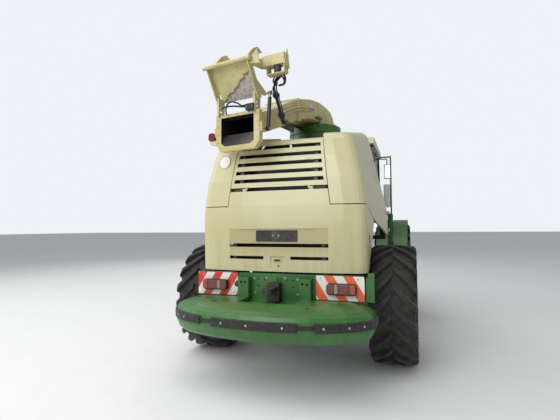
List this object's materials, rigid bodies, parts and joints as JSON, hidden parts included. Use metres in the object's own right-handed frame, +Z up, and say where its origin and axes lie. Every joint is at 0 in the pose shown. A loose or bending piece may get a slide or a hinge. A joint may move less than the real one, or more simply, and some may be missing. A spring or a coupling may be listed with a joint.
{
  "type": "self-propelled forage harvester",
  "caption": "Self-propelled forage harvester without its crop header, cream hood with louvred grille, green chassis, swivelling discharge spout, glazed cab and lugged tyres.",
  "frame": {"origin": "on the ground, midway between the machine's front and rear ends and between its sides", "axes": "+X to the machine's right, +Y forward towards the feeder mouth, +Z up"},
  "size_m": [3.3, 7.2, 4.0907],
  "materials": {
    "green_paint": "semi-gloss, dusty",
    "cream_paint": "gloss, weathered",
    "black_paint": "satin",
    "tyre_rubber": "dusty",
    "black_rubber": "matt",
    "cab_glass": "clear, tinted",
    "black_plastic": "matt",
    "lamp_plastic": "gloss",
    "plate_white": "reflective sheet",
    "cloth": "woven",
    "steel": "worn bright",
    "cast": "rough",
    "tank_plastic": "moulded",
    "white_plastic": "moulded"
  },
  "bodies": {
    "chassis": {"chassis_frame": "green_paint", "rear_beam": "green_paint", "bumper": "green_paint", "bumper_strip": "black_rubber", "hitch": "cast", "warning_plates": "plate_white", "tail_lamps": "lamp_plastic", "engine": "cast", "cooling_pack": "black_paint", "axles": "green_paint", "tanks": "tank_plastic", "fenders": "green_paint", "platforms": "green_paint", "cab_frame": "black_paint", "cab_roof": "cream_paint", "cab_glass": "cab_glass", "seat": "cloth", "console": "black_plastic", "feeder_house": "green_paint", "turret_base": "green_paint", "hood_frame": "black_paint", "hood_roof": "cream_paint", "louvre_grille": "cream_paint", "mirrors": "black_plastic", "canister": "white_plastic"},
    "rear_hood": {"rear_hood": "cream_paint"},
    "side_panel_left": {"side_panel_left": "cream_paint"},
    "side_panel_right": {"side_panel_right": "cream_paint"},
    "cab_door": {"cab_door": "black_paint", "door_glass": "cab_glass"},
    "turret": {"turret_ring": "green_paint"},
    "spout": {"spout_bend": "cream_paint", "spout_duct": "cream_paint", "marker_lamp": "lamp_plastic", "lamp_bracket": "cream_paint"},
    "guide_flap": {"guide_flap": "cream_paint", "work_lamp": "lamp_plastic"},
    "end_flap": {"end_flap": "cream_paint"},
    "lift_barrel": {"lift_barrel": "black_paint"},
    "lift_rod": {"lift_rod": "steel"},
    "flap_barrel": {"flap_barrel": "black_paint"},
    "flap_rod": {"flap_rod": "steel"},
    "knuckle_left": {"knuckle_left": "green_paint"},
    "knuckle_right": {"knuckle_right": "green_paint"},
    "wheel_rear_left": {"tyre_rear_left": "tyre_rubber", "rim_rear_left": "cream_paint"},
    "wheel_rear_right": {"tyre_rear_right": "tyre_rubber", "rim_rear_right": "cream_paint"},
    "wheel_front_left": {"tyre_front_left": "tyre_rubber", "rim_front_left": "cream_paint"},
    "wheel_front_right": {"tyre_front_right": "tyre_rubber", "rim_front_right": "cream_paint"},
    "upper_roll": {"upper_roll": "steel"},
    "lower_roll": {"lower_roll": "steel"}
  },
  "joints": [
    {"name": "slew", "type": "hinge", "parent": "chassis", "child": "turret", "pos_m": [0, -0.7, 3.5], "axis": [0, 0, 1], "range_deg": [-94, 116]},
    {"name": "spout_lift", "type": "hinge", "parent": "turret", "child": "spout", "pos_m": [0.06297, -0.37606, 3.64], "axis": [-0.9816, 0.1908, 0], "range_deg": [0, 20]},
    {"name": "guide_flap_tip", "type": "hinge", "parent": "spout", "child": "guide_flap", "pos_m": [-0.43791, -2.95283, 3.45], "axis": [0.9816, -0.1908, 0], "range_deg": [0, 80]},
    {"name": "end_flap_fold", "type": "hinge", "parent": "guide_flap", "child": "end_flap", "pos_m": [-0.46906, -3.11311, 3.87881], "axis": [0.9816, -0.1908, 0], "range_deg": [0, 100]},
    {"name": "lift_barrel_turn", "type": "hinge", "parent": "turret", "child": "lift_barrel", "pos_m": [-0.09731, -1.20063, 3.48], "axis": [-0.9816, 0.1908, 0], "range_deg": [0, 50]},
    {"name": "lift_rod_slide", "type": "slide", "parent": "lift_barrel", "child": "lift_rod", "axis": [-0.1899, -0.9768, -0.0995], "range_m": [0, 0.14]},
    {"name": "flap_barrel_turn", "type": "hinge", "parent": "spout", "child": "flap_barrel", "pos_m": [-0.04976, -2.92132, 3.05], "axis": [0.9816, -0.1908, 0], "range_deg": [0, 20]},
    {"name": "flap_rod_slide", "type": "slide", "parent": "flap_barrel", "child": "flap_rod", "axis": [0.0186, 0.0956, 0.9952], "range_m": [0, 0.135]},
    {"name": "rear_hood_open", "type": "hinge", "parent": "chassis", "child": "rear_hood", "pos_m": [0, -2.757, 2.322], "axis": [-1, 0, 0], "range_deg": [0, 80]},
    {"name": "side_panel_left_open", "type": "hinge", "parent": "chassis", "child": "side_panel_left", "pos_m": [-1.239, -0.876, 2], "axis": [0, 0, -1], "range_deg": [0, 80]},
    {"name": "side_panel_right_open", "type": "hinge", "parent": "chassis", "child": "side_panel_right", "pos_m": [1.239, -0.876, 2], "axis": [0, 0, 1], "range_deg": [0, 80]},
    {"name": "cab_door_open", "type": "hinge", "parent": "chassis", "child": "cab_door", "pos_m": [-0.9, 0.964, 2.6], "axis": [0, 0, 1], "range_deg": [0, 80]},
    {"name": "steer_right", "type": "hinge", "parent": "chassis", "child": "knuckle_right", "pos_m": [1.09, -1.75, 0.79], "axis": [0, 0, 1], "range_deg": [-35, 35]},
    {"name": "steer_left", "type": "hinge", "parent": "chassis", "child": "knuckle_left", "pos_m": [-1.09, -1.75, 0.79], "axis": [0, 0, 1], "range_deg": [-35, 35]},
    {"name": "roll_rear_left", "type": "hinge", "parent": "knuckle_left", "child": "wheel_rear_left", "pos_m": [-1.35, -1.75, 0.79], "axis": [1, 0, 0], "continuous": true},
    {"name": "roll_rear_right", "type": "hinge", "parent": "knuckle_right", "child": "wheel_rear_right", "pos_m": [1.35, -1.75, 0.79], "axis": [1, 0, 0], "continuous": true},
    {"name": "roll_front_left", "type": "hinge", "parent": "chassis", "child": "wheel_front_left", "pos_m": [-1.2, 1.45, 0.95], "axis": [1, 0, 0], "continuous": true},
    {"name": "roll_front_right", "type": "hinge", "parent": "chassis", "child": "wheel_front_right", "pos_m": [1.2, 1.45, 0.95], "axis": [1, 0, 0], "continuous": true},
    {"name": "upper_roll_spin", "type": "hinge", "parent": "chassis", "child": "upper_roll", "pos_m": [0, 3.34, 0.99], "axis": [1, 0, 0], "continuous": true},
    {"name": "lower_roll_spin", "type": "hinge", "parent": "chassis", "child": "lower_roll", "pos_m": [0, 3.34, 0.62], "axis": [1, 0, 0], "continuous": true}
  ],
  "couplings": [
    {"joint": "steer_left", "follows": "steer_right", "ratio": 1},
    {"joint": "lift_barrel_turn", "follows": "spout_lift", "ratio": 2.4946},
    {"joint": "lift_rod_slide", "follows": "spout_lift", "m_per_rad": 0.3693},
    {"joint": "flap_barrel_turn", "follows": "guide_flap_tip", "ratio": 0.2386},
    {"joint": "flap_rod_slide", "follows": "guide_flap_tip", "m_per_rad": 0.09368}
  ]
}
